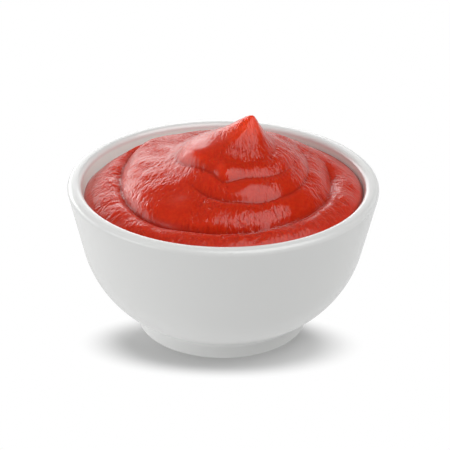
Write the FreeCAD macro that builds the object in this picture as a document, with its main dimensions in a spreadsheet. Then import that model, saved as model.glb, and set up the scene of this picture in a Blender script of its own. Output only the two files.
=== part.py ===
"""A small round bowl heaped with ketchup: a white ceramic dip bowl and the spooned swirl in it.

The origin is the centre of the foot's underside, +Z is up, the swirl's front faces -Y.
"""
import FreeCAD
import Part
import Sketcher
import math
import os

SIZES = {
    # The bowl.
    "rim_radius": 45.3,           # outer edge of the lip, before it is rounded
    "bowl_height": 44.8,
    "wall_lean": 13.3,            # degrees that the upper wall leans outwards
    "wall_thickness": 4.05,
    "belly_radius": 33.0,         # outer curve between upper wall and foot
    "well_radius": 26.0,          # inner curve between upper wall and floor
    "floor_thickness": 4.5,
    "foot_radius": 24.7,
    "foot_rise": 3.6,             # height at which the belly meets the foot
    "foot_width": 3.4,
    "foot_recess": 1.5,
    "foot_fillet": 1.3,
    "foot_round": 0.6,
    "lip_outer_round": 1.4,
    "lip_inner_round": 1.5,
    # The ketchup as a whole.
    "fill_drop": 3.5,             # from the lip's top down to where the ketchup meets the wall
    "fill_tilt": 0.8,             # rise of that line towards its high side, and fall away from it
    "fill_tilt_angle": 20.0,      # direction of the high side, anticlockwise from +X
    "dome_rise": 5.0,
    "dome_power": 2.2,
    "surface_step": 1.25,         # spacing of the points that carry the swirl's surface
    # The outer roll, between the wall and the middle layer's edge.
    "outer_roll_width": 9.2,
    "outer_roll_rise": 1.7,
    # The middle layer.
    "middle_rise": 3.8,
    "middle_softness": 1.8,
    "middle_groove": 0.9,
    "middle_start_angle": 130.0,  # where its edge leaves the wall
    "middle_sweep": 255.0,
    "middle_start_flare": 8.5,
    "middle_pinch": 1.5,          # how far its edge draws in on the left
    # The upper layer.
    "upper_offset_x": 5.7,
    "upper_offset_y": 1.5,
    "upper_inset": 10.2,          # from the middle layer's edge
    "upper_oval": 2.2,
    "upper_rise": 4.0,
    "upper_softness": 1.7,
    "upper_groove": 1.0,
    "upper_start_angle": 100.0,
    "upper_sweep": 300.0,
    "upper_notch": 4.3,           # where the upper layer tucks under itself
    "upper_notch_angle": -131.0,
    # The crown, the last turn under the peak.
    "crown_offset_x": 6.5,
    "crown_offset_y": 0.0,
    "crown_inset": 6.9,           # from the upper layer's edge
    "crown_rise": 1.9,
    "crown_softness": 1.6,
    "crown_groove": 0.6,
    "crown_start_angle": 175.0,
    "crown_sweep": 190.0,
    "crown_lap": 3.0,
    "crown_lap_angle": -120.0,
    # The peak that the spoon pulled up.
    "peak_offset_x": 8.0,
    "peak_offset_y": 4.0,
    "peak_rise": 7.9,
    "peak_reach": 8.0,
    "peak_lean": 2.9,             # how far the peak stands off the middle of its base, along X
    "peak_skirt": 3.6,
    "peak_skirt_angle": -72.0,
    "peak_bluntness": 0.12,
}


START, END = 1, 2                 # the two ends of a sketch edge
ORIGIN, SKETCH_X, SKETCH_Y = -1, -1, -2
HEADROOM = 4                      # the well's profile rises this many peaks above the lip
FADE_ANGLE = 30.0                 # degrees over which a layer's edge fades out
NOTCH_ANGLE = 20.0                # spread of the tucks in the layers' edges, in degrees
SKIRT_ANGLE = 35.0
PINCH_ANGLE = 190.0
GROOVE_WIDTH = 1.5
BROAD_REACH = 5.0                 # half the width of a slope where a layer has no edge
PEAK_FLARE = 1.08


def make_sheet(doc):
    """Put the driving sizes in a spreadsheet, one aliased cell each."""
    sheet = doc.addObject("Spreadsheet::Sheet", "sizes")
    for row, (alias, value) in enumerate(SIZES.items(), start=1):
        sheet.set(f"A{row}", alias)
        sheet.set(f"B{row}", str(value))
        sheet.setAlias(f"B{row}", alias)
    doc.recompute()
    return sheet


def point(radius, height):
    """A point of a profile sketch, where x is the radius and y the height."""
    return FreeCAD.Vector(radius, height, 0.0)


def add_sketch(body, name):
    """A sketch on the body's own XZ plane."""
    sketch = body.newObject("Sketcher::SketchObject", name)
    plane = next(item for item in body.Origin.OriginFeatures if item.Role == "XZ_Plane")
    sketch.AttachmentSupport = [(plane, "")]
    sketch.MapMode = "FlatFace"
    return sketch


def rule(sketch, kind, *elements):
    """Add a geometric constraint to a sketch."""
    sketch.addConstraint(Sketcher.Constraint(kind, *elements))


def bind(sketch, kind, elements, value, expression):
    """Add a dimension to a sketch and tie it to an expression on the sheet."""
    index = sketch.addConstraint(Sketcher.Constraint(kind, *elements, value))
    sketch.setExpression(f"Constraints[{index}]", expression)


def chain(sketch, edges, count, reversed_edge):
    """Join edges 0 to count - 1 end to start into a closed outline.

    An arc is drawn anticlockwise, so the one edge that runs the other way is named.
    """
    ends = [(edge, END, START) if edge != reversed_edge else (edge, START, END)
            for edge in range(count)]
    for edge in range(count):
        here, there = ends[edge], ends[(edge + 1) % count]
        if (here[0], there[0]) not in edges:
            rule(sketch, "Coincident", here[0], here[1], there[0], there[2])


def turn(body, kind, sketch, name):
    """Turn a profile once around the vertical axis, adding to or cutting the body."""
    feature = body.newObject(kind, name)
    feature.Profile = sketch
    feature.ReferenceAxis = (sketch, ["V_Axis"])
    feature.Angle = 360.0
    return feature


def arc(centre, radius, first, last):
    """A sketch arc about a centre, from the first angle to the last, anticlockwise."""
    return Part.ArcOfCircle(Part.Circle(centre, FreeCAD.Vector(0, 0, 1), radius), first, last)


def draw_blank(body, size):
    """The profile of the bowl as if it were solid: foot ring, belly, leaning wall and top."""
    sketch = add_sketch(body, "blank_profile")
    lean = math.radians(size("wall_lean"))
    rim = point(size("rim_radius"), size("bowl_height"))
    foot = point(size("foot_radius"), size("foot_rise"))
    recess = size("foot_recess")
    ring = foot.x - size("foot_width")
    radius = size("belly_radius")
    wall = point(-math.sin(lean), -math.cos(lean))
    inward = point(-math.cos(lean), math.sin(lean))
    # How far down the straight wall the belly's arc starts, so that it ends at the foot.
    to_foot = foot - rim - inward * radius
    along = to_foot.dot(wall)
    down = along - math.sqrt(radius ** 2 - (to_foot - wall * along).Length ** 2)
    shoulder = rim + wall * down
    centre = shoulder + inward * radius
    foot_angle = math.atan2(foot.y - centre.y, foot.x - centre.x)
    sketch.addGeometry([
        Part.LineSegment(point(0, recess), point(ring, recess)),
        Part.LineSegment(point(ring, recess), point(ring, 0)),
        Part.LineSegment(point(ring, 0), point(foot.x, 0)),
        Part.LineSegment(point(foot.x, 0), foot),
        arc(centre, radius, foot_angle, -lean),
        Part.LineSegment(shoulder, rim),
        Part.LineSegment(rim, point(0, rim.y)),
        Part.LineSegment(point(0, rim.y), point(0, recess)),
    ], False)
    under, step, ring_face, foot_side, belly, wall_line, top, axis = range(8)
    chain(sketch, [(belly, wall_line)], 8, None)
    rule(sketch, "Tangent", belly, END, wall_line, START)
    for line in (under, ring_face, top):
        rule(sketch, "Horizontal", line)
    for line in (step, foot_side):
        rule(sketch, "Vertical", line)
    rule(sketch, "PointOnObject", ring_face, START, SKETCH_X)
    rule(sketch, "PointOnObject", axis, START, SKETCH_Y)
    rule(sketch, "PointOnObject", axis, END, SKETCH_Y)
    bind(sketch, "DistanceX", (ORIGIN, START, wall_line, END), rim.x, "sizes.rim_radius")
    bind(sketch, "DistanceY", (ORIGIN, START, wall_line, END), rim.y, "sizes.bowl_height")
    bind(sketch, "Angle", (SKETCH_Y, wall_line), -lean, "-sizes.wall_lean")
    bind(sketch, "Radius", (belly,), radius, "sizes.belly_radius")
    bind(sketch, "DistanceX", (ORIGIN, START, foot_side, END), foot.x, "sizes.foot_radius")
    bind(sketch, "DistanceY", (foot_side, START, foot_side, END), foot.y, "sizes.foot_rise")
    bind(sketch, "DistanceX", (ring_face, START, ring_face, END), foot.x - ring,
         "sizes.foot_width")
    bind(sketch, "DistanceY", (ORIGIN, START, under, START), recess, "sizes.foot_recess")
    return sketch


def draw_well(body, size):
    """The profile of the bowl's inside, carried straight up past the lip."""
    sketch = add_sketch(body, "well_profile")
    lean = math.radians(size("wall_lean"))
    lip = point(size("rim_radius") - size("wall_thickness") / math.cos(lean),
                size("bowl_height"))
    radius = size("well_radius")
    floor = size("foot_recess") + size("floor_thickness")
    headroom = size("peak_rise") * HEADROOM
    drop = lip.y - floor - radius * (1 - math.sin(lean))
    shoulder = lip - point(drop * math.tan(lean), drop)
    centre = point(shoulder.x - radius * math.cos(lean), floor + radius)
    sketch.addGeometry([
        Part.LineSegment(point(0, floor), point(centre.x, floor)),
        arc(centre, radius, -math.pi / 2, -lean),
        Part.LineSegment(shoulder, lip),
        Part.LineSegment(lip, lip + point(0, headroom)),
        Part.LineSegment(lip + point(0, headroom), point(0, lip.y + headroom)),
        Part.LineSegment(point(0, lip.y + headroom), point(0, floor)),
    ], False)
    floor_line, well, wall_line, clear, top, axis = range(6)
    chain(sketch, [(floor_line, well), (well, wall_line)], 6, None)
    rule(sketch, "Tangent", floor_line, END, well, START)
    rule(sketch, "Tangent", well, END, wall_line, START)
    rule(sketch, "Horizontal", floor_line)
    rule(sketch, "Vertical", clear)
    rule(sketch, "Horizontal", top)
    rule(sketch, "PointOnObject", axis, START, SKETCH_Y)
    rule(sketch, "PointOnObject", axis, END, SKETCH_Y)
    bind(sketch, "DistanceX", (ORIGIN, START, wall_line, END), lip.x,
         "sizes.rim_radius - sizes.wall_thickness / cos(sizes.wall_lean * 1 deg)")
    bind(sketch, "DistanceY", (ORIGIN, START, wall_line, END), lip.y, "sizes.bowl_height")
    bind(sketch, "Angle", (SKETCH_Y, wall_line), -lean, "-sizes.wall_lean")
    bind(sketch, "Radius", (well,), radius, "sizes.well_radius")
    bind(sketch, "DistanceY", (ORIGIN, START, floor_line, START), floor,
         "sizes.foot_recess + sizes.floor_thickness")
    bind(sketch, "DistanceY", (clear, START, clear, END), headroom,
         f"sizes.peak_rise * {HEADROOM}")
    return sketch


def ring_edge(shape, radius, height):
    """The name of the circular edge at this radius and height."""
    for number, edge in enumerate(shape.Edges, start=1):
        if not isinstance(edge.Curve, Part.Circle):
            continue
        centre = edge.Curve.Center
        if abs(edge.Curve.Radius - radius) < 1e-3 and abs(centre.z - height) < 1e-3 \
                and centre.x ** 2 + centre.y ** 2 < 1e-6:
            return f"Edge{number}"
    raise ValueError(f"no edge of radius {radius} at height {height}")


def round_edge(body, base, edge, name, expression):
    """Round one edge of the body by a radius from the sheet."""
    fillet = body.newObject("PartDesign::Fillet", name)
    fillet.Base = (base, [edge])
    fillet.setExpression("Radius", expression)
    body.Document.recompute()
    return fillet


def build_bowl(doc, size):
    """The bowl: a turned blank, its well cut out, the lip and the foot rounded."""
    body = doc.addObject("PartDesign::Body", "bowl")
    blank = turn(body, "PartDesign::Revolution", draw_blank(body, size), "blank")
    doc.recompute()
    hollow = turn(body, "PartDesign::Groove", draw_well(body, size), "well_cut")
    doc.recompute()
    if hollow.Shape.Volume > 0.9 * blank.Shape.Volume:
        raise ValueError("the well was not cut")
    lip = size("rim_radius") - size("wall_thickness") / math.cos(math.radians(size("wall_lean")))
    foot = size("foot_radius")
    height = size("bowl_height")
    last = hollow
    for name, radius, level in (
            ("lip_outer_round", size("rim_radius"), height),
            ("lip_inner_round", lip, height),
            ("foot_fillet", foot, size("foot_rise")),
            ("foot_round", foot, 0.0)):
        edge = ring_edge(last.Shape, radius, level)
        last = round_edge(body, last, edge, name, f"sizes.{name}")
    body.Tip = last
    doc.recompute()
    return body


def smooth(value):
    """0 up to 0, 1 from 1, and an S-curve between."""
    value = min(max(value, 0.0), 1.0)
    return value * value * (3 - 2 * value)


def turn_between(angle, other):
    """The smaller turn between two angles, in degrees."""
    return abs((angle - other + 180.0) % 360.0 - 180.0)


def bump(angle, middle, spread):
    """A bell around one direction."""
    return math.exp(-(turn_between(angle, middle) / spread) ** 2)


def along_sweep(angle, first, sweep):
    """1 along an edge's sweep, fading to 0 past both of its ends."""
    spare = sweep / 2 - turn_between(angle, first + sweep / 2)
    return smooth(0.5 + spare / FADE_ANGLE)


class Swirl:
    """The ketchup's surface: a dome with rolled layers that wind up to an off-centre peak."""

    def __init__(self, size):
        self.size = size
        lean = math.radians(size("wall_lean"))
        self.level = size("bowl_height") - size("fill_drop")
        self.wall = (size("rim_radius") - size("wall_thickness") / math.cos(lean)
                     - size("fill_drop") * math.tan(lean))
        self.middle_radius = self.wall - size("outer_roll_width")
        self.upper_radius = self.middle_radius - size("upper_inset")
        self.crown_radius = self.upper_radius - size("crown_inset")

    def layer(self, name, inside, angle, broad):
        """The height that a layer adds, a given way inside its edge.

        The edge stands steeply over a groove along the layer's sweep, and is a broad
        slope elsewhere.
        """
        size = self.size
        crisp = along_sweep(angle, size(f"{name}_start_angle"), size(f"{name}_sweep"))
        shelf = 1 - math.exp(-max(inside, 0.0) / size(f"{name}_softness"))
        groove = size(f"{name}_groove") * math.exp(-abs(inside) / GROOVE_WIDTH)
        return size(f"{name}_rise") * (crisp * shelf + (1 - crisp) * broad) - crisp * groove

    def middle(self, x, y):
        """The outer roll beside the wall, and the middle layer over it."""
        size = self.size
        radius = math.hypot(x, y)
        angle = math.degrees(math.atan2(y, x))
        start = size("middle_start_angle")
        edge = self.middle_radius
        edge += size("middle_start_flare") * bump(angle, start, FADE_ANGLE / 2)
        edge -= size("middle_pinch") * bump(angle, PINCH_ANGLE, FADE_ANGLE)
        room = max(self.wall - edge, 0.5)
        across = min(max((radius - edge) / room, 0.0), 1.0)
        crisp = along_sweep(angle, start, size("middle_sweep"))
        roll = crisp * size("outer_roll_rise") * 4 * across * (1 - across)
        broad = smooth((self.wall - radius) / (self.wall - self.middle_radius + 2))
        return roll + self.layer("middle", edge - radius, angle, broad)

    def upper(self, x, y):
        """The upper layer, tucked in under itself on one side."""
        size = self.size
        x, y = x - size("upper_offset_x"), y - size("upper_offset_y")
        radius = math.hypot(x, y)
        angle = math.degrees(math.atan2(y, x))
        edge = self.upper_radius - size("upper_oval") * math.cos(math.radians(2 * angle))
        edge -= size("upper_notch") * bump(angle, size("upper_notch_angle"), NOTCH_ANGLE)
        broad = smooth((edge + BROAD_REACH - radius) / (2 * BROAD_REACH))
        return self.layer("upper", edge - radius, angle, broad)

    def crown(self, x, y):
        """The last turn below the peak."""
        size = self.size
        x, y = x - size("crown_offset_x"), y - size("crown_offset_y")
        radius = math.hypot(x, y)
        angle = math.degrees(math.atan2(y, x))
        edge = self.crown_radius
        edge += size("crown_lap") * bump(angle, size("crown_lap_angle"), NOTCH_ANGLE)
        broad = smooth((edge + BROAD_REACH - radius) / (2 * BROAD_REACH))
        return self.layer("crown", edge - radius, angle, broad)

    def peak(self, x, y):
        """The blunt cone that the spoon pulled up, off the middle of its own base."""
        size = self.size
        x, y = x - size("peak_offset_x"), y - size("peak_offset_y")
        angle = math.degrees(math.atan2(y, x))
        reach = size("peak_reach") - size("peak_lean") * math.cos(math.radians(angle))
        reach += size("peak_skirt") * bump(angle, size("peak_skirt_angle"), SKIRT_ANGLE)
        blunt = size("peak_bluntness")
        share = math.hypot(math.hypot(x, y) / reach, blunt) - blunt
        return size("peak_rise") * max(1 - share, 0.0) ** PEAK_FLARE

    def height(self, x, y):
        """The height of the surface above the foot's underside."""
        size = self.size
        share = math.hypot(x, y) / self.wall
        dome = size("dome_rise") * (1 - share ** size("dome_power"))
        high_side = math.radians(size("fill_tilt_angle"))
        along = (x * math.cos(high_side) + y * math.sin(high_side)) / self.wall
        layers = self.middle(x, y) + self.upper(x, y) + self.crown(x, y) + self.peak(x, y)
        return self.level + size("fill_tilt") * along + dome + layers


def build_surface(doc, size):
    """A spline face through a square of points on the swirl, wider than the bowl."""
    swirl = Swirl(size)
    count = 2 * round(size("rim_radius") / size("surface_step")) + 1
    places = [size("rim_radius") * (2 * index / (count - 1) - 1) for index in range(count)]
    points = [[FreeCAD.Vector(x, y, swirl.height(x, y)) for y in places] for x in places]
    spline = Part.BSplineSurface()
    spline.interpolate(points)
    surface = doc.addObject("Part::Feature", "swirl_surface")
    surface.Shape = spline.toShape()
    return surface


def build_ketchup(doc, size):
    """The ketchup: all of the bowl's inside that lies under the swirl."""
    column = doc.addObject("Part::Extrusion", "swirl_column")
    column.Base = build_surface(doc, size)
    column.DirMode = "Custom"
    column.Dir = FreeCAD.Vector(0, 0, -1)
    column.setExpression("LengthFwd", "2 * sizes.bowl_height")
    inside = doc.addObject("PartDesign::Body", "bowl_inside")
    turn(inside, "PartDesign::Revolution", draw_well(inside, size), "inside_turned")
    doc.recompute()
    ketchup = doc.addObject("Part::Common", "ketchup")
    ketchup.Base = inside
    ketchup.Tool = column
    doc.recompute()
    return ketchup


def check_document(doc):
    """Stop if any object of the document failed to compute."""
    for item in doc.Objects:
        if "Invalid" in item.State or "Error" in item.State:
            raise ValueError(f"{item.Name} failed: {item.State}")


def export(parts):
    """Check each sub-part's solid and write it to its own file."""
    for part in parts:
        shape = part.Shape
        if shape.isNull() or not shape.isValid() or len(shape.Solids) != 1:
            raise ValueError(f"{part.Label} is not one valid solid")
    os.makedirs("parts", exist_ok=True)
    for part in parts:
        part.Shape.exportStep(f"parts/{part.Label}.step")
        print(f"{part.Label}: {part.Shape.Volume / 1000:.2f} cm3, box {part.Shape.BoundBox}")


def main():
    doc = FreeCAD.newDocument("ketchup_bowl")
    sheet = make_sheet(doc)

    def size(name):
        return float(sheet.get(name))

    parts = [build_bowl(doc, size), build_ketchup(doc, size)]
    check_document(doc)
    export(parts)


main()
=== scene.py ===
"""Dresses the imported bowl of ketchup: a glazed white bowl and the swirl that fills it."""
import math

import bpy
import numpy as np
from bpy.props import FloatProperty, FloatVectorProperty, IntProperty, PointerProperty
from mathutils import Matrix, Vector


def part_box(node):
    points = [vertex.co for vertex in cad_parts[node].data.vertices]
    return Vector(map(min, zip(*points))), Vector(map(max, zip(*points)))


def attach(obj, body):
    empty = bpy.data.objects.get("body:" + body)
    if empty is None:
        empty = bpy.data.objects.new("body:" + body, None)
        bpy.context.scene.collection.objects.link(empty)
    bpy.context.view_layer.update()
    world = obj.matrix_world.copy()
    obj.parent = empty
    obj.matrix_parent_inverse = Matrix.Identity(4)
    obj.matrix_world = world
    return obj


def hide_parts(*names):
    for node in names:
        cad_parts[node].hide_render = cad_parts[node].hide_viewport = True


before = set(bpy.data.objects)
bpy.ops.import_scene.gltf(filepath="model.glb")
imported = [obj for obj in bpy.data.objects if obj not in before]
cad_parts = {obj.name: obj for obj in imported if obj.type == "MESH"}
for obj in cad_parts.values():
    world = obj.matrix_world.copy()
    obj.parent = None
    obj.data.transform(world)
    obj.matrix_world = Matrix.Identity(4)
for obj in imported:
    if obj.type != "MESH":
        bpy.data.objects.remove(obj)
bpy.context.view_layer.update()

bl_info = {
    "name": "Bowl of Ketchup",
    "version": (1, 0, 0),
    "blender": (4, 5, 0),
    "location": "View3D > Sidebar > Bowl of Ketchup",
    "description": "Models and finishes a small ceramic bowl filled with a swirl of ketchup",
    "category": "Object",
}

# Sizes and places are in mm, from the axis and from the foot's underside, and MM turns
# them into metres.
MM = 0.001
RIM_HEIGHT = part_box("bowl")[1].z / MM
WELL_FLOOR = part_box("ketchup")[0].z / MM


def length(name, description, default):
    """A length that a user may change, in millimetres."""
    return FloatProperty(name=name, description=description + ", in mm", default=default)


def degrees(name, description, default):
    """An angle that a user may change, given here in degrees."""
    return FloatProperty(name=name, description=description, default=math.radians(default),
                         subtype="ANGLE")


def paint(name, description, default):
    """A colour that a user may change."""
    return FloatVectorProperty(name=name, description=description, subtype="COLOR",
                               default=default)


# Sizes and colours -----------------------------------------------------------------------


class BowlSizes(bpy.types.PropertyGroup):
    """The bowl's section and its glaze."""
    rim_radius: length("Rim radius", "Outer edge of the lip, before it is rounded", 45.3)
    wall_lean: degrees("Wall lean", "How far the upper wall leans outwards", 13.3)
    wall_thickness: length("Wall thickness", "Thickness of the upper wall", 4.05)
    belly_radius: length("Belly radius", "Outer curve from the wall down to the foot", 33.0)
    well_radius: length("Well radius", "Inner curve from the wall down to the floor", 26.0)
    foot_radius: length("Foot radius", "Outside of the foot ring", 24.7)
    foot_rise: length("Foot rise", "Height at which the belly meets the foot", 4.3)
    foot_width: length("Foot width", "Width of the foot ring's underside", 3.4)
    foot_recess: length("Foot recess", "Depth of the hollow inside the foot ring", 1.5)
    foot_fillet: length("Foot fillet", "Hollow curve between belly and foot", 2.2)
    foot_round: length("Foot round", "Rounding of the foot's lower edge", 0.6)
    lip_outer_round: length("Outer lip round", "Rounding of the lip's outer edge", 1.4)
    lip_inner_round: length("Inner lip round", "Rounding of the lip's inner edge", 1.5)
    turns: IntProperty(name="Turned steps", description="Steps around the bowl", default=240)
    glaze: paint("Glaze", "Colour of the white glaze", (0.765, 0.77, 0.76))


class SwirlSizes(bpy.types.PropertyGroup):
    """The swirl's layers, from the wall inwards to the peak, and the ketchup's colour."""
    fill_drop: length("Fill drop", "From the lip's top down to the ketchup at the wall", 3.5)
    fill_tilt: length("Fill tilt", "Rise of the ketchup's edge towards its high side", 0.8)
    fill_tilt_angle: degrees("High side", "Direction of the ketchup's high side", 20.0)
    dome_rise: length("Dome rise", "Height of the dome under the layers", 5.0)
    dome_power: FloatProperty(
        name="Dome power", description="How flat the dome's top is", default=2.2)
    outer_roll_width: length("Outer roll width", "From the wall to the middle layer", 9.2)
    outer_roll_rise: length("Outer roll rise", "Height of the roll beside the wall", 1.7)
    back_dip: length("Back dip", "How far the roll sinks at the back left", 1.5)
    middle_rise: length("Middle rise", "Height of the middle layer", 3.8)
    middle_softness: length("Middle softness", "How gradually its edge rises", 3.6)
    middle_groove: length("Middle groove", "Depth of the groove along its edge", 0.9)
    middle_start: degrees("Middle start", "Where its edge leaves the wall", 120.0)
    middle_sweep: degrees("Middle sweep", "How far its edge runs round", 255.0)
    middle_flare: length("Middle flare", "How far its edge reaches to the wall", 8.5)
    middle_pinch: length("Middle pinch", "How far its edge draws in on the left", 1.5)
    upper_x: length("Upper X", "Sideways place of the upper layer", 5.7)
    upper_y: length("Upper Y", "Depth of the upper layer", 1.5)
    upper_inset: length("Upper inset", "From the middle layer's edge to its own", 10.2)
    upper_oval: length("Upper oval", "How much longer than wide it is", 2.2)
    upper_rise: length("Upper rise", "Height of the upper layer", 3.3)
    upper_softness: length("Upper softness", "How gradually its edge rises", 4.0)
    upper_groove: length("Upper groove", "Depth of the groove along its edge", 0.45)
    upper_start: degrees("Upper start", "Where its edge comes out from under the crown", 228.0)
    upper_sweep: degrees("Upper sweep", "How far its edge runs round", 172.0)
    crown_x: length("Crown X", "Sideways place of the crown", 6.5)
    crown_y: length("Crown Y", "Depth of the crown", 0.0)
    crown_inset: length("Crown inset", "From the upper layer's edge to its own", 6.9)
    crown_rise: length("Crown rise", "Height of the crown", 1.9)
    crown_softness: length("Crown softness", "How gradually its edge rises", 2.6)
    crown_groove: length("Crown groove", "Depth of the groove along its edge", 0.25)
    crown_start: degrees("Crown start", "Where its edge begins", 120.0)
    crown_sweep: degrees("Crown sweep", "How far its edge runs round", 235.0)
    crown_lobe: length("Crown lobe", "How far its broad end laps over the upper layer", 7.0)
    crown_lobe_angle: degrees("Lobe side", "Where its broad end lies", 160.0)
    crown_swell: length("Crown swell", "Height of the roll along its broad end", 1.6)
    crown_swell_angle: degrees("Swell side", "Where that roll is highest", 205.0)
    crown_lap: length("Crown lap", "How far its front corner laps over", 2.6)
    crown_lap_angle: degrees("Lap side", "Where its front corner lies", -113.0)
    peak_x: length("Peak X", "Sideways place of the peak", 8.3)
    peak_y: length("Peak Y", "Depth of the peak", 4.0)
    peak_rise: length("Peak rise", "Height of the peak", 8.45)
    peak_reach: length("Peak reach", "Radius of the peak's base", 11.2)
    peak_lean: length("Peak lean", "How far the peak stands off its base's middle", 5.2)
    peak_skirt: length("Peak skirt", "How far its base runs out in front", 1.0)
    peak_skirt_angle: degrees("Skirt side", "Where its base runs out", -72.0)
    peak_bluntness: FloatProperty(
        name="Peak bluntness", description="Share of the base that its tip is rounded by",
        default=0.12)
    wrinkle_depth: length("Wrinkle depth", "Depth of the wrinkles", 0.12)
    lump_depth: length("Lump depth", "Depth of the soft unevenness", 0.35)
    colour: paint("Ketchup", "Colour of the ketchup", (0.60, 0.026, 0.002))


class StageSizes(bpy.types.PropertyGroup):
    """The camera, the lights and the floor."""
    camera_distance: length("Camera distance", "From the camera to its aim", 636.0)
    camera_elevation: degrees("Camera elevation", "How steeply the camera looks down", 26.45)
    camera_roll: degrees("Camera roll", "How far the camera is turned about its view", 0.61)
    aim_x: length("Aim X", "How far the camera stands to the right of the axis", 0.6)
    aim_height: length("Aim height", "Height on the axis that the camera looks at", 30.6)
    floor: paint("Floor", "Colour of the floor", (0.70, 0.70, 0.70))


# Shader maths ----------------------------------------------------------------------------


class Wire:
    """A shader socket that adds Math nodes when it is used in an expression."""

    def __init__(self, bench, socket):
        self.bench = bench
        self.socket = socket

    def __add__(self, other):
        return self.bench.maths("ADD", self, other)

    def __sub__(self, other):
        return self.bench.maths("SUBTRACT", self, other)

    def __rsub__(self, other):
        return self.bench.maths("SUBTRACT", other, self)

    def __mul__(self, other):
        return self.bench.maths("MULTIPLY", self, other)

    __radd__ = __add__
    __rmul__ = __mul__


# The colour sockets of the Mix node, which share their names with its other sockets.
MIX_SHARE, MIX_FIRST, MIX_SECOND, MIX_RESULT = 0, 6, 7, 2


class Bench:
    """The node tree of a material or a world, and the one method that adds its nodes."""

    def __init__(self, owner):
        self.owner = owner
        owner.use_nodes = True
        self.tree = owner.node_tree
        self.tree.nodes.clear()

    def node(self, kind, settings=None, inputs=None):
        """Add a node, its settings first, and give back its outputs as wires."""
        node = self.tree.nodes.new(kind)
        for key, value in (settings or {}).items():
            setattr(node, key, value)
        for key, value in (inputs or {}).items():
            if isinstance(value, Wire):
                self.tree.links.new(value.socket, node.inputs[key])
            else:
                node.inputs[key].default_value = value
        outputs = {number: Wire(self, socket) for number, socket in enumerate(node.outputs)}
        outputs.update({socket.name: Wire(self, socket) for socket in node.outputs})
        return outputs

    def place(self):
        """A point's place on its object, and that place's X, Y and Z."""
        place = self.node("ShaderNodeTexCoord")["Object"]
        parts = self.node("ShaderNodeSeparateXYZ", {}, {"Vector": place})
        return place, parts["X"], parts["Y"], parts["Z"]

    def attribute(self, name):
        """A value that is written on the mesh's points."""
        return self.node("ShaderNodeAttribute", {"attribute_name": name})["Fac"]

    def maths(self, operation, first, second=None):
        """A Math node's value, from wires or numbers."""
        inputs = {0: first} if second is None else {0: first, 1: second}
        return self.node("ShaderNodeMath", {"operation": operation}, inputs)["Value"]

    def radius(self, x, y):
        """How far a place is from the middle, seen from above."""
        return self.maths("SQRT", x * x + y * y)

    def noise(self, where, scale, detail=2.0, roughness=0.5, distortion=0.0):
        """Grey noise from about 0 to 1, with its scale in repeats per unit."""
        return self.node("ShaderNodeTexNoise", {}, {
            "Vector": where, "Scale": scale, "Detail": detail, "Roughness": roughness,
            "Distortion": distortion})["Fac"]

    def remap(self, value, low, high, new_low=0.0, new_high=1.0):
        """Spread a value smoothly from one range to another."""
        return self.node("ShaderNodeMapRange", {"interpolation_type": "SMOOTHSTEP"}, {
            "Value": value, "From Min": low, "From Max": high, "To Min": new_low,
            "To Max": new_high})["Result"]

    def mix(self, share, first, second):
        """Mix two colours, each a wire or its red, green and blue."""
        first, second = (colour if isinstance(colour, Wire) else (*colour, 1.0)
                         for colour in (first, second))
        return self.node("ShaderNodeMix", {"data_type": "RGBA"}, {
            MIX_SHARE: share, MIX_FIRST: first, MIX_SECOND: second})[MIX_RESULT]

    def finish(self, shader, output="ShaderNodeOutputMaterial"):
        self.node(output, {}, {"Surface": shader})
        return self.owner


def new_material(name):
    return Bench(bpy.data.materials.new(name))


# Inside the bowl the glaze is painted a paler and cooler white: painted light that lifts the
# shade on the inner wall and offsets the red light that the ketchup throws onto it. A place
# is inside where its radius, less the wall's lean, is below the first reach, and outside
# above the second. The painted paler white comes in over the low heights and goes again
# over the high ones.
INNER_PAINTED_LIGHT = (0.79, 0.93, 0.89)
WALL_SLOPE = 0.236
INNER_REACHES = (31.5 * MM, 33.5 * MM)
INNER_LOW = (15.0 * MM, 20.0 * MM)
INNER_HIGH = (42.8 * MM, 43.8 * MM)


def glaze_material(colour):
    """White glaze: a hard even gloss, painted paler and cooler inside the bowl, where painted
    light lifts the inner wall's shade.
    """
    bench = new_material("white_glaze")
    _, x, y, z = bench.place()
    reach = bench.radius(x, y) - z * WALL_SLOPE
    # The inside share paints the glaze lighter and cooler: painted light on the inner wall.
    inside = (bench.remap(reach, *INNER_REACHES, 1.0, 0.0) * bench.remap(z, *INNER_LOW)
              * bench.remap(z, *INNER_HIGH, 1.0, 0.0))
    shader = bench.node("ShaderNodeBsdfPrincipled", {}, {
        "Base Color": bench.mix(inside, colour, INNER_PAINTED_LIGHT), "Roughness": 0.26, "IOR": 1.5,
        "Coat Weight": 0.25, "Coat Roughness": 0.08})["BSDF"]
    return bench.finish(shader)


# The ketchup's colours: its pulp, as shares of the main colour; a painted light, paler and
# oranger, at the peak's tip, where it stands for light shining through the thin sauce, and on
# ridges; a painted shade, darker, in creases and along the wall; and a painted shade along
# the hollows of its finest wrinkles.
PULP_SHADE = (0.88, 0.7, 0.7)
PAINTED_LIGHT_KETCHUP = (0.84, 0.052, 0.008)
PAINTED_GLOW_HEIGHTS = (57.2 * MM, 62.5 * MM)
RIDGE_RANGE = (0.0, -1.35)
PAINTED_SHADE_KETCHUP = (0.38, 0.011, 0.0015)
CREASE_RANGE = (0.0, 1.0)
WRINKLE_SHADE_KETCHUP = (0.34, 0.008, 0.001)
LINE_RANGE = (0.48, 0.33)
LINE_DEPTH = 0.45

# Its finest relief, in a fan around a place behind the peak: wrinkles to a radian, their
# length and depth, and how much they sway. The grain's depth is a share of theirs.
FAN_CENTRE = (-3.0, 27.0)
FINE_COUNT = 62.0
FINE_LENGTH = 1.5 * MM
FINE_DEPTH = 0.24 * MM
FINE_SWAY = 0.8
GRAIN_DEPTH = 0.05

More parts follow.
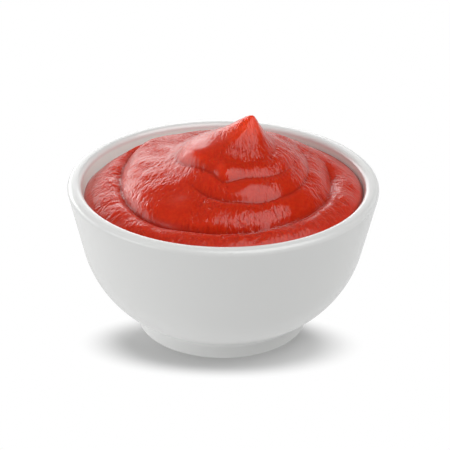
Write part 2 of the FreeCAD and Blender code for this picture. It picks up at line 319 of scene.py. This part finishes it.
# Its three noises' repeats per metre, the range that most of a noise lies in, and its
# skin's roughness, to which the outer roll adds some dullness.
PULP_SCALE, GRAIN_SCALE, WETNESS_SCALE = 900.0, 1500.0, 500.0
NOISE_RANGE = (0.3, 0.7)
WET_ROUGHNESS = (0.15, 0.2)
OUTER_REACHES = (30.5 * MM, 34.5 * MM)
OUTER_DULLNESS = 0.14


def ketchup_material(colour):
    """Thick tomato sauce: deep red, a wet skin, the finest wrinkles and the pulp's grain, with
    painted shade in creases, along the wall and in the wrinkles' hollows, and painted light on
    ridges and at the peak's tip.
    """
    bench = new_material("thick_ketchup")
    place, x, y, z = bench.place()
    wrinkled, hollow = bench.attribute("wrinkled"), bench.attribute("hollow")

    fan_x, fan_y = x - FAN_CENTRE[0] * MM, y - FAN_CENTRE[1] * MM
    fan = bench.node("ShaderNodeCombineXYZ", {}, {
        "X": bench.maths("ARCTAN2", fan_y, fan_x) * FINE_COUNT,
        "Y": bench.radius(fan_x, fan_y) * (1.0 / FINE_LENGTH)})["Vector"]
    fine = bench.noise(fan, 1.0, detail=1.0, distortion=FINE_SWAY)
    grain = bench.noise(place, GRAIN_SCALE, roughness=0.6)
    relief = bench.node("ShaderNodeBump", {}, {
        "Strength": 1.0, "Distance": FINE_DEPTH,
        "Height": fine * wrinkled + grain * GRAIN_DEPTH})["Normal"]

    pulp = bench.noise(place, PULP_SCALE, detail=4.0, roughness=0.6)
    pulp_colour = [part * shade for part, shade in zip(colour, PULP_SHADE)]
    tint = bench.mix(bench.remap(pulp, *NOISE_RANGE), pulp_colour, colour)
    # Painted light: the peak's tip is painted paler, as though light shone through it.
    tint = bench.mix(bench.remap(z, *PAINTED_GLOW_HEIGHTS), tint, PAINTED_LIGHT_KETCHUP)
    # Painted shade: creases and the band along the wall are painted darker.
    tint = bench.mix(bench.remap(hollow, *CREASE_RANGE), tint, PAINTED_SHADE_KETCHUP)
    # Painted light: ridges are painted paler.
    tint = bench.mix(bench.remap(hollow, *RIDGE_RANGE), tint, PAINTED_LIGHT_KETCHUP)
    # Painted shade: the hollows of the finest wrinkles are painted darker.
    tint = bench.mix(bench.remap(fine, *LINE_RANGE) * wrinkled * LINE_DEPTH, tint,
                     WRINKLE_SHADE_KETCHUP)

    wetness = bench.noise(place, WETNESS_SCALE, detail=3.0)
    roughness = (bench.remap(wetness, *NOISE_RANGE, *WET_ROUGHNESS)
                 + bench.remap(bench.radius(x, y), *OUTER_REACHES) * OUTER_DULLNESS)
    shader = bench.node("ShaderNodeBsdfPrincipled", {"subsurface_method": "RANDOM_WALK"}, {
        "Base Color": tint, "Roughness": roughness, "Normal": relief, "IOR": 1.4,
        "Sheen Weight": 0.28, "Sheen Roughness": 0.35, "Sheen Tint": (1.0, 0.84, 0.84, 1.0),
        "Subsurface Weight": 0.6, "Subsurface Radius": (1.0, 0.16, 0.06),
        "Subsurface Scale": 4.0 * MM})["BSDF"]
    return bench.finish(shader)


# Modelling helpers -----------------------------------------------------------------------


def clear_selection():
    bpy.ops.object.select_all(action="DESELECT")


def take_new_piece(name):
    """Name the primitive that was just added."""
    piece = bpy.context.active_object
    piece.name = name
    piece.data.name = name
    return piece


def dress(piece, node, material):
    """Give a piece its material and say which part of the frame it stands for."""
    piece.data.materials.clear()
    piece.data.materials.append(material)
    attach(piece, "root")
    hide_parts(node)


# The bowl --------------------------------------------------------------------------------


# Points along each round of the section and each straight wall. The belly's first points
# give way to the fillet above the foot, and both walls stop short of the rounded lip by a
# share of their length. Points of the turned bowl that are closer than the weld are one.
RING_STEPS, TOE_STEPS, FILLET_STEPS, LIP_STEPS = 5, 6, 8, 10
BELLY_STEPS, WELL_STEPS, WALL_STEPS = 40, 24, 10
BELLY_START = 4
LIP_SHARE = 0.05
WELD = 0.001 * MM


def arc_points(centre, radius, first, last, steps):
    """Points along an arc, both ends included."""
    return [(centre[0] + radius * math.cos(turn), centre[1] + radius * math.sin(turn))
            for turn in np.linspace(first, last, steps)]


def round_corner(before, corner, after, radius, steps):
    """An arc of this radius in place of a corner of the section."""
    before, corner, after = Vector(before), Vector(corner), Vector(after)
    to_before, to_after = (before - corner).normalized(), (after - corner).normalized()
    half = to_before.angle(to_after) / 2
    middle = corner + (to_before + to_after).normalized() * (radius / math.sin(half))
    start = corner + to_before * (radius / math.tan(half)) - middle
    end = corner + to_after * (radius / math.tan(half)) - middle
    first, last = math.atan2(start.y, start.x), math.atan2(end.y, end.x)
    turn = (last - first + math.pi) % (2 * math.pi) - math.pi
    return arc_points(middle, radius, first, first + turn, steps)


def wall_points(start, end, first, last):
    """Points on a straight wall between two shares of its length, both ends left out."""
    return [tuple(Vector(start).lerp(Vector(end), first + (last - first) * step / WALL_STEPS))
            for step in range(1, WALL_STEPS)]


class Section:
    """The bowl's section, worked out from its sizes. Points are (radius, height) in mm."""

    def __init__(self, sizes):
        self.sizes = sizes
        self.lean = sizes.wall_lean
        across = sizes.wall_thickness / math.cos(self.lean)
        self.rim = Vector((sizes.rim_radius, RIM_HEIGHT))
        self.lip = Vector((sizes.rim_radius - across, RIM_HEIGHT))
        self.foot = Vector((sizes.foot_radius, sizes.foot_rise))

    def well_radius_at(self, height):
        """The inner wall's radius at a height."""
        centre_x, centre_y, radius = self.well_arc()
        if height >= centre_y - radius * math.sin(self.lean):
            return self.lip.x - (self.lip.y - height) * math.tan(self.lean)
        return centre_x + math.sqrt(max(radius ** 2 - (height - centre_y) ** 2, 0.0))

    def well_arc(self):
        """Centre and radius of the inner curve that runs from the wall to the floor."""
        radius = self.sizes.well_radius
        drop = self.lip.y - WELL_FLOOR - radius * (1 - math.sin(self.lean))
        shoulder = self.lip.x - drop * math.tan(self.lean)
        return shoulder - radius * math.cos(self.lean), WELL_FLOOR + radius, radius

    def belly_arc(self):
        """Centre and end angles of the outer curve that runs from the foot to the wall."""
        radius = self.sizes.belly_radius
        along = Vector((-math.sin(self.lean), -math.cos(self.lean)))
        inward = Vector((-math.cos(self.lean), math.sin(self.lean)))
        to_foot = self.foot - self.rim - inward * radius
        reach = to_foot.dot(along)
        down = reach - math.sqrt(radius ** 2 - (to_foot - along * reach).length_squared)
        centre = self.rim + along * down + inward * radius
        return centre, math.atan2(self.foot.y - centre.y, self.foot.x - centre.x), -self.lean

    def points(self):
        """The whole section, from the middle of the underside round to the middle floor."""
        sizes = self.sizes
        inside = sizes.foot_radius - sizes.foot_width
        recess, recess_edge = (0.0, sizes.foot_recess), (inside, sizes.foot_recess)
        heel, toe = (inside, 0.0), (sizes.foot_radius, 0.0)
        centre, first, last = self.belly_arc()
        belly = arc_points(centre, sizes.belly_radius, first, last, BELLY_STEPS)
        well_x, well_y, radius = self.well_arc()
        well = arc_points((well_x, well_y), radius, -self.lean, -math.pi / 2, WELL_STEPS)
        return [
            recess, (inside / 2, sizes.foot_recess),
            *round_corner(recess, recess_edge, heel, sizes.foot_round, RING_STEPS),
            *round_corner(recess_edge, heel, toe, sizes.foot_round, RING_STEPS),
            *round_corner(heel, toe, self.foot, sizes.foot_round, TOE_STEPS),
            *round_corner(toe, self.foot, belly[BELLY_START - 1], sizes.foot_fillet,
                          FILLET_STEPS),
            *belly[BELLY_START:],
            *wall_points(belly[-1], self.rim, 0.0, 1.0 - LIP_SHARE),
            *round_corner(belly[-1], self.rim, self.lip, sizes.lip_outer_round, LIP_STEPS),
            *round_corner(self.rim, self.lip, well[0], sizes.lip_inner_round, LIP_STEPS),
            *wall_points(self.lip, well[0], LIP_SHARE, 1.0),
            *well,
            (0.0, WELL_FLOOR),
        ]


class KETCHUP_OT_model_bowl(bpy.types.Operator):
    """Turn the bowl from its section and glaze it"""
    bl_idname = "ketchup.model_bowl"
    bl_label = "Model the bowl"

    def execute(self, context):
        sizes = context.scene.bowl_sizes
        outline = Section(sizes).points()
        clear_selection()
        bpy.ops.mesh.primitive_plane_add(size=MM, location=(0, 0, outline[0][1] * MM))
        piece = take_new_piece("glazed_bowl")
        bpy.ops.object.transform_apply(location=True, rotation=True, scale=True)
        bpy.ops.object.mode_set(mode="EDIT")
        bpy.ops.mesh.merge(type="CENTER")
        for before, after in zip(outline, outline[1:]):
            step = ((after[0] - before[0]) * MM, 0, (after[1] - before[1]) * MM)
            bpy.ops.mesh.extrude_vertices_move(TRANSFORM_OT_translate={"value": step})
        bpy.ops.mesh.select_all(action="SELECT")
        bpy.ops.mesh.spin(steps=sizes.turns, angle=2 * math.pi, center=(0, 0, 0),
                          axis=(0, 0, 1))
        bpy.ops.mesh.select_all(action="SELECT")
        bpy.ops.mesh.remove_doubles(threshold=WELD)
        bpy.ops.mesh.normals_make_consistent(inside=False)
        bpy.ops.object.mode_set(mode="OBJECT")
        bpy.ops.object.shade_smooth()
        dress(piece, "bowl", glaze_material(sizes.glaze))
        return {"FINISHED"}


# The ketchup -----------------------------------------------------------------------------


def smooth(value):
    """0 up to 0, 1 from 1, and an S-curve between."""
    value = np.clip(value, 0.0, 1.0)
    return value * value * (3 - 2 * value)


def turn_between(angle, other):
    """The smaller turn between two angles."""
    return np.abs((angle - other + math.pi) % (2 * math.pi) - math.pi)


def bump(angle, middle, spread):
    """A bell around one direction."""
    return np.exp(-(turn_between(angle, middle) / spread) ** 2)


# Angles over which the layers' features fade, and the sides where the pinch, the dip and
# the deepest groove lie.
FADE_ANGLE = math.radians(30.0)
LAP_ANGLE = math.radians(13.0)
LOBE_ANGLE = math.radians(45.0)
SWELL_ANGLE = math.radians(38.0)
FLARE_ANGLE = math.radians(26.0)
SKIRT_ANGLE = math.radians(35.0)
PINCH_SIDE = math.radians(190.0)
DIP_SIDE, DIP_ANGLE = math.radians(138.0), math.radians(22.0)
GROOVE_SIDE, GROOVE_ANGLE = math.radians(250.0), math.radians(55.0)

# In mm: the width of the groove under a layer's edge, with its least depth as a share, the
# narrowest roll, the middle layer's and the others' gentle slopes, and the crown's swell.
# The peak's flare is the power by which its side curves outwards to its base.
GROOVE_WIDTH = 1.1
GROOVE_LEAST = 0.12
LEAST_ROLL = 0.5
MIDDLE_SLOPE = 2.0
BROAD_REACH = 5.0
SWELL_REACH = 4.0
PEAK_FLARE = 1.55

# Unevenness, with its lengths in mm. It stops short of the wall, its wrinkles are counted
# per radian of the fan, and each kind of ripple has a seed of its own.
WALL_CALM = 3.0
LUMP_LENGTH = 7.0
SWAY_LENGTH, SWAY = 5.0, 1.4
FAN_COUNT = 40.0
WRINKLE_LENGTH = 2.2
FINER_ACROSS, FINER_ALONG, FINER_SHARE = 2.1, 1.7, 0.5
LUMPS, SWAYS, WRINKLES, FINER_WRINKLES, PATCHES = 1, 2, 3, 4, 5

# What makes a ripple's hash, and the gain that brings it to about -1 to 1.
HASH_COLUMN, HASH_ROW, HASH_SEED, HASH_SPREAD = 127.1, 311.7, 74.7, 43758.5
RIPPLE_GAIN = 1.6

# Where the skin is wrinkled: patches of this length, level and contrast, never less than
# the least, and not in the smooth places, each given by its X, its Y and its reach.
PATCH_LENGTH, PATCH_LEVEL, PATCH_CONTRAST = 6.0, 0.65, 1.6
LEAST_WRINKLED = 0.55
SMOOTH_PLACES = ((7.0, -17.5, 4.0), (-6.0, -3.0, 5.0), (-1.5, -13.0, 3.5),
                 (20.0, -17.0, 5.5), (-12.0, -20.0, 5.0), (-15.0, -25.0, 5.0))

# How creases are found, for the ketchup's painted shade in them and painted light on ridges:
# the width of the one along the wall, then for a narrow and a broad ring around a place its
# reach, the depth that counts in full and its share.
WALL_SHADE = 1.3
HOLLOWS = ((0.5, 0.08, 0.34), (1.6, 0.5, 0.27))
RING_PLACES = 6


def ripple(x, y, seed):
    """Soft noise from about -1 to 1 over arrays of places, one swing per unit.

    Each corner of a unit square gets a slope in a direction that a hash of its place
    gives, and the slopes are blended across the square.
    """
    column, row = np.floor(x), np.floor(y)
    across, along = x - column, y - row

    def knot(side, end):
        mixed = (column + side) * HASH_COLUMN + (row + end) * HASH_ROW + seed * HASH_SEED
        turn = np.sin(mixed) * HASH_SPREAD
        turn = 2 * math.pi * (turn - np.floor(turn))
        return np.cos(turn) * (across - side) + np.sin(turn) * (along - end)

    share, rise = smooth(across), smooth(along)
    low = knot(0, 0) * (1 - share) + knot(1, 0) * share
    high = knot(0, 1) * (1 - share) + knot(1, 1) * share
    return RIPPLE_GAIN * (low * (1 - rise) + high * rise)


def along_sweep(angle, first, sweep):
    """1 along an edge's sweep, fading to 0 past both of its ends."""
    spare = sweep / 2 - turn_between(angle, first + sweep / 2)
    return smooth(0.5 + spare / FADE_ANGLE)


class Swirl:
    """The ketchup's surface over arrays of places, in mm above the foot's underside."""

    def __init__(self, sizes, section):
        self.sizes = sizes
        self.level = RIM_HEIGHT - sizes.fill_drop
        self.wall = section.well_radius_at(self.level)
        self.middle_radius = self.wall - sizes.outer_roll_width
        self.upper_radius = self.middle_radius - sizes.upper_inset
        self.crown_radius = self.upper_radius - sizes.crown_inset

    def layer(self, name, inside, angle, broad):
        """A layer's own height: steep over a groove along its sweep, a slope elsewhere."""
        def own(what):
            return getattr(self.sizes, f"{name}_{what}")

        crisp = along_sweep(angle, own("start"), own("sweep"))
        shelf = np.tanh(np.maximum(inside, 0.0) / own("softness"))
        groove = own("groove") * np.exp(-(inside / GROOVE_WIDTH) ** 2)
        depth = GROOVE_LEAST + (1 - GROOVE_LEAST) * bump(angle, GROOVE_SIDE, GROOVE_ANGLE)
        return own("rise") * (crisp * shelf + (1 - crisp) * broad) - crisp * groove * depth

    def middle(self, x, y):
        """The outer roll beside the wall, and the middle layer over it."""
        sizes = self.sizes
        radius, angle = np.hypot(x, y), np.arctan2(y, x)
        edge = self.middle_radius + sizes.middle_flare * bump(
            angle, sizes.middle_start, FLARE_ANGLE)
        edge = edge - sizes.middle_pinch * bump(angle, PINCH_SIDE, FADE_ANGLE)
        room = np.maximum(self.wall - edge, LEAST_ROLL)
        across = np.clip((radius - edge) / room, 0.0, 1.0)
        crisp = along_sweep(angle, sizes.middle_start, sizes.middle_sweep)
        roll = crisp * sizes.outer_roll_rise * 4 * across * (1 - across)
        roll = roll - sizes.back_dip * bump(angle, DIP_SIDE, DIP_ANGLE) * smooth(across)
        slope = self.wall - self.middle_radius + MIDDLE_SLOPE
        broad = smooth((self.wall - radius) / slope)
        return roll + self.layer("middle", edge - radius, angle, broad)

    def upper(self, x, y):
        """The upper layer, which comes out from under the crown's broad end."""
        sizes = self.sizes
        x, y = x - sizes.upper_x, y - sizes.upper_y
        radius, angle = np.hypot(x, y), np.arctan2(y, x)
        edge = self.upper_radius - sizes.upper_oval * np.cos(2 * angle)
        broad = smooth((edge + BROAD_REACH - radius) / (2 * BROAD_REACH))
        return self.layer("upper", edge - radius, angle, broad)

    def crown(self, x, y):
        """The last turn below the peak."""
        sizes = self.sizes
        x, y = x - sizes.crown_x, y - sizes.crown_y
        radius, angle = np.hypot(x, y), np.arctan2(y, x)
        edge = self.crown_radius + sizes.crown_lobe * bump(
            angle, sizes.crown_lobe_angle, LOBE_ANGLE)
        edge = edge + sizes.crown_lap * bump(angle, sizes.crown_lap_angle, LAP_ANGLE)
        broad = smooth((edge + BROAD_REACH - radius) / (2 * BROAD_REACH))
        share = np.maximum(edge - radius, 0.0) / SWELL_REACH
        swell = sizes.crown_swell * bump(angle, sizes.crown_swell_angle, SWELL_ANGLE)
        return (self.layer("crown", edge - radius, angle, broad)
                + swell * share * np.exp(1 - share))

    def peak(self, x, y):
        """The blunt cone that the spoon pulled up, off the middle of its own base."""
        sizes = self.sizes
        x, y = x - sizes.peak_x, y - sizes.peak_y
        angle = np.arctan2(y, x)
        reach = sizes.peak_reach - sizes.peak_lean * np.cos(angle)
        reach = reach + sizes.peak_skirt * bump(angle, sizes.peak_skirt_angle, SKIRT_ANGLE)
        blunt = sizes.peak_bluntness
        share = np.hypot(np.hypot(x, y) / reach, blunt) - blunt
        return sizes.peak_rise * np.maximum(1 - share, 0.0) ** PEAK_FLARE

    def height(self, x, y):
        """The height of the surface."""
        sizes = self.sizes
        share = np.hypot(x, y) / self.wall
        dome = sizes.dome_rise * (1 - share ** sizes.dome_power)
        along = (x * math.cos(sizes.fill_tilt_angle)
                 + y * math.sin(sizes.fill_tilt_angle)) / self.wall
        layers = self.middle(x, y) + self.upper(x, y) + self.crown(x, y) + self.peak(x, y)
        return self.level + sizes.fill_tilt * along + dome + layers + self.unevenness(x, y)

    def hollow(self, x, y, height):
        """How much lower a place is than its surroundings: 1 in a crease and along the wall,
        -1 on a ridge. It sets where the ketchup is painted in shade and painted light.
        """
        total = smooth(1 - (self.wall - np.hypot(x, y)) / WALL_SHADE)
        turns = np.linspace(0, 2 * math.pi, RING_PLACES, endpoint=False)
        for reach, depth, share in HOLLOWS:
            ring = sum(self.height(x + reach * math.cos(turn), y + reach * math.sin(turn))
                       for turn in turns) / RING_PLACES
            total = total + share * np.clip((ring - height) / depth, -1.0, 1.0)
        return np.clip(total, -1.0, 1.0)

    def wrinkling(self, x, y):
        """How wrinkled the skin is: nothing on the smooth places, patchy elsewhere."""
        calm = smooth((self.wall - np.hypot(x, y)) / WALL_CALM)
        for place_x, place_y, reach in SMOOTH_PLACES:
            away = np.hypot(x - place_x, y - place_y) / reach
            calm = calm * (1 - np.exp(-away ** 2))
        patches = ripple(x / PATCH_LENGTH, y / PATCH_LENGTH, PATCHES)
        patches = smooth(PATCH_LEVEL + PATCH_CONTRAST * patches)
        return calm * (LEAST_WRINKLED + (1 - LEAST_WRINKLED) * patches)

    def unevenness(self, x, y):
        """Soft lumps all over, and wrinkles that fan out from behind the peak."""
        sizes = self.sizes
        wall = smooth((self.wall - np.hypot(x, y)) / WALL_CALM)
        lumps = ripple(x / LUMP_LENGTH, y / LUMP_LENGTH, LUMPS)
        fan_x, fan_y = x - FAN_CENTRE[0], y - FAN_CENTRE[1]
        sway = ripple(x / SWAY_LENGTH, y / SWAY_LENGTH, SWAYS)
        across = np.arctan2(fan_y, fan_x) * FAN_COUNT + SWAY * sway
        along = np.hypot(fan_x, fan_y) / WRINKLE_LENGTH
        wrinkles = ripple(across, along, WRINKLES) + FINER_SHARE * ripple(
            across * FINER_ACROSS, along * FINER_ALONG, FINER_WRINKLES)
        return (wall * sizes.lump_depth * lumps
                + sizes.wrinkle_depth * wrinkles * self.wrinkling(x, y))


def square_to_disc(u, v):
    """Move points of a square from -1 to 1 onto a disc of radius 1, rings onto rings."""
    wide = np.abs(u) > np.abs(v)
    radius = np.where(wide, u, v)
    safe = np.where(radius == 0, 1.0, radius)
    angle = np.where(wide, math.pi / 4 * v / safe, math.pi / 2 - math.pi / 4 * u / safe)
    return radius * np.cos(angle), radius * np.sin(angle)


# Steps across the surface and down its side, and how far the side starts under the
# surface's lowest point, in mm.
SURFACE_STEPS = 296
SKIRT_STEPS = 5
SKIRT_DROP = 1.0


class KETCHUP_OT_model_ketchup(bpy.types.Operator):
    """Shape the ketchup's swirl and fill the bowl under it"""
    bl_idname = "ketchup.model_ketchup"
    bl_label = "Model the ketchup"

    def execute(self, context):
        sizes = context.scene.swirl_sizes
        section = Section(context.scene.bowl_sizes)
        swirl = Swirl(sizes, section)
        clear_selection()
        bpy.ops.mesh.primitive_grid_add(
            x_subdivisions=SURFACE_STEPS, y_subdivisions=SURFACE_STEPS, size=2)
        piece = take_new_piece("ketchup_swirl")
        self.shape_surface(piece.data, swirl)
        self.close_below(piece, section)
        bpy.ops.object.shade_smooth()
        dress(piece, "ketchup", ketchup_material(sizes.colour))
        return {"FINISHED"}

    @staticmethod
    def shape_surface(mesh, swirl):
        """Move the grid's points onto the swirl."""
        places = np.empty(len(mesh.vertices) * 3)
        mesh.vertices.foreach_get("co", places)
        places = places.reshape(-1, 3)
        x, y = square_to_disc(places[:, 0], places[:, 1])
        x, y = x * swirl.wall, y * swirl.wall
        places = np.stack([x, y, swirl.height(x, y)], axis=1) * MM
        mesh.vertices.foreach_set("co", places.ravel())
        # The hollows set where the ketchup is painted in shade and painted light.
        for name, values in (("wrinkled", swirl.wrinkling(x, y)),
                             ("hollow", swirl.hollow(x, y, places[:, 2] / MM))):
            mesh.attributes.new(name, "FLOAT", "POINT").data.foreach_set("value", values)
        mesh.update()

    @staticmethod
    def close_below(piece, section):
        """Carry the surface's border down the wall to the floor and close it."""
        bpy.ops.object.mode_set(mode="EDIT")
        bpy.ops.mesh.select_mode(type="EDGE")
        bpy.ops.mesh.select_all(action="DESELECT")
        bpy.ops.mesh.select_non_manifold(extend=False, use_wire=False, use_multi_face=False,
                                         use_non_contiguous=False, use_verts=False)
        top = min(vertex.co.z for vertex in piece.data.vertices) / MM - SKIRT_DROP
        for step in range(1, SKIRT_STEPS + 1):
            bpy.ops.mesh.extrude_region_move()
            bpy.ops.object.mode_set(mode="OBJECT")
            share = 1 - math.cos(step / SKIRT_STEPS * math.pi / 2)
            height = top + (WELL_FLOOR - top) * share
            radius = section.well_radius_at(height) * MM
            for vertex in piece.data.vertices:
                if vertex.select:
                    across = math.hypot(vertex.co.x, vertex.co.y)
                    vertex.co.x *= radius / across
                    vertex.co.y *= radius / across
                    vertex.co.z = height * MM
            bpy.ops.object.mode_set(mode="EDIT")
        bpy.ops.mesh.edge_face_add()
        bpy.ops.mesh.select_all(action="SELECT")
        bpy.ops.mesh.normals_make_consistent(inside=False)
        bpy.ops.object.mode_set(mode="OBJECT")


# The stage -------------------------------------------------------------------------------


# The floor keeps the bowl's shadow inside the first reach and is plain white beyond the
# second, both in an oval that lies towards the front and is narrower from front to back.
# For the light that bounces off it, the floor glows: everywhere it is the same mix of its
# shaded colour and a white glow, which lights the foot in spite of the shadow under the bowl.
SHADE_REACHES = (25.2 * MM, 42.0 * MM)
SHADE_SHIFT = (0.0, 16.2 * MM, 0.0)
SHADE_SQUASH = (1.0, 2.05, 1.0)
EVEN_GLOW_SHARE = 0.49
FLOOR_WIDTH = 6.0


def floor_material(colour):
    """A plain pale floor that takes the bowl's shadow, and glows white for the light it throws
    back onto the bowl.
    """
    bench = new_material("pale_floor")
    shaded = bench.node("ShaderNodeBsdfDiffuse", {}, {"Color": (*colour, 1.0)})["BSDF"]
    white = bench.node("ShaderNodeEmission", {}, {"Color": (1.0, 1.0, 1.0, 1.0)})["Emission"]
    place = bench.node("ShaderNodeTexCoord")["Object"]
    for operation, amount in (("ADD", SHADE_SHIFT), ("MULTIPLY", SHADE_SQUASH)):
        place = bench.node("ShaderNodeVectorMath", {"operation": operation},
                           {0: place, 1: amount})["Vector"]
    away = bench.node("ShaderNodeVectorMath", {"operation": "LENGTH"}, {0: place})["Value"]
    seen = bench.node("ShaderNodeLightPath")["Is Camera Ray"]
    # Away from the bowl the camera sees plain white; every other ray sees the floor glow.
    far = bench.remap(away, *SHADE_REACHES) * seen + (1 - seen) * EVEN_GLOW_SHARE
    shader = bench.node("ShaderNodeMixShader", {}, {0: far, 1: shaded, 2: white})["Shader"]
    return bench.finish(shader)


# The room's even light, and how far from the rim the lights stand, in metres. Then each
# light's name, its degrees clockwise from behind the bowl, its degrees up, its width and
# height in metres, and its radiance. The camera's lens and sensor are in mm.
ROOM_STRENGTH = 0.11
LIGHT_DISTANCE = 1.2
LIGHTS = (
    ("front_light", 124, 62, (1.2, 1.2), 2.95),
    ("back_light", 338, 13, (1.3, 0.56), 2.8),
    ("back_left_light", 299, 10, (1.0, 0.4), 2.5),
    ("left_light", 246, 9, (1.0, 0.38), 3.7),
    ("far_right_light", 30, 14, (0.9, 0.5), 0.7),
    ("fill_light", 262, 44, (2.4, 2.4), 0.14),
)
CAMERA_LENS = 174.7
CAMERA_SENSOR = 36.0


def studio_world():
    """An even dim room."""
    bench = Bench(bpy.data.worlds.new("studio"))
    shader = bench.node("ShaderNodeBackground", {}, {"Strength": ROOM_STRENGTH})["Background"]
    return bench.finish(shader, "ShaderNodeOutputWorld")


def add_softbox(name, towards, elevation, size, radiance):
    """A soft light aimed at the bowl's rim."""
    clear_selection()
    towards, elevation = math.radians(towards), math.radians(elevation)
    aim = Vector((0, 0, RIM_HEIGHT * MM))
    away = Vector((math.cos(elevation) * math.sin(towards),
                   math.cos(elevation) * math.cos(towards), math.sin(elevation)))
    bpy.ops.object.light_add(type="AREA", location=aim + away * LIGHT_DISTANCE)
    lamp = bpy.context.active_object
    lamp.name = name
    lamp.rotation_euler = away.to_track_quat("Z", "Y").to_euler()
    lamp.data.shape = "RECTANGLE"
    lamp.data.size, lamp.data.size_y = size
    lamp.data.energy = radiance * math.pi * lamp.data.size * lamp.data.size_y


class KETCHUP_OT_set_stage(bpy.types.Operator):
    """Put the floor, the lights and the camera in place"""
    bl_idname = "ketchup.set_stage"
    bl_label = "Set the stage"

    def execute(self, context):
        settings = context.scene.stage_sizes
        clear_selection()
        bpy.ops.mesh.primitive_plane_add(size=FLOOR_WIDTH)
        floor = take_new_piece("floor")
        floor.data.materials.append(floor_material(settings.floor))
        for light in LIGHTS:
            add_softbox(*light)
        context.scene.world = studio_world()
        context.scene.view_settings.view_transform = "Standard"
        self.add_camera(context.scene, settings)
        return {"FINISHED"}

    @staticmethod
    def add_camera(scene, settings):
        """Point the camera down at the bowl from in front."""
        clear_selection()
        aim = Vector((settings.aim_x, 0, settings.aim_height)) * MM
        away = Vector((0, -math.cos(settings.camera_elevation),
                       math.sin(settings.camera_elevation)))
        bpy.ops.object.camera_add(location=aim + away * settings.camera_distance * MM)
        camera = bpy.context.active_object
        turn = away.to_track_quat("Z", "Y").to_matrix().to_4x4()
        roll = Matrix.Rotation(settings.camera_roll, 4, "Z")
        camera.rotation_euler = (turn @ roll).to_euler()
        camera.data.sensor_width = CAMERA_SENSOR
        camera.data.lens = CAMERA_LENS
        scene.camera = camera


OPERATORS = (KETCHUP_OT_model_bowl, KETCHUP_OT_model_ketchup, KETCHUP_OT_set_stage)
SETTINGS = {"bowl_sizes": BowlSizes, "swirl_sizes": SwirlSizes, "stage_sizes": StageSizes}


class KETCHUP_PT_panel(bpy.types.Panel):
    """Lists the steps that make the bowl of ketchup"""
    bl_idname = "KETCHUP_PT_panel"
    bl_label = "Bowl of Ketchup"
    bl_space_type = "VIEW_3D"
    bl_region_type = "UI"
    bl_category = "Bowl of Ketchup"

    def draw(self, context):
        column = self.layout.column()
        for operator in OPERATORS:
            column.operator(operator.bl_idname)
        for name in SETTINGS:
            group = getattr(context.scene, name)
            for prop in group.bl_rna.properties:
                if not prop.is_readonly and prop.identifier != "name":
                    column.prop(group, prop.identifier)


def register():
    for group in SETTINGS.values():
        bpy.utils.register_class(group)
    for name, group in SETTINGS.items():
        setattr(bpy.types.Scene, name, PointerProperty(type=group))
    for part in (*OPERATORS, KETCHUP_PT_panel):
        bpy.utils.register_class(part)


def unregister():
    for part in (KETCHUP_PT_panel, *reversed(OPERATORS)):
        bpy.utils.unregister_class(part)
    for name, group in SETTINGS.items():
        delattr(bpy.types.Scene, name)
        bpy.utils.unregister_class(group)


def main():
    register()
    bpy.ops.ketchup.model_bowl()
    bpy.ops.ketchup.model_ketchup()
    bpy.ops.ketchup.set_stage()


if __name__ == "__main__":
    main()
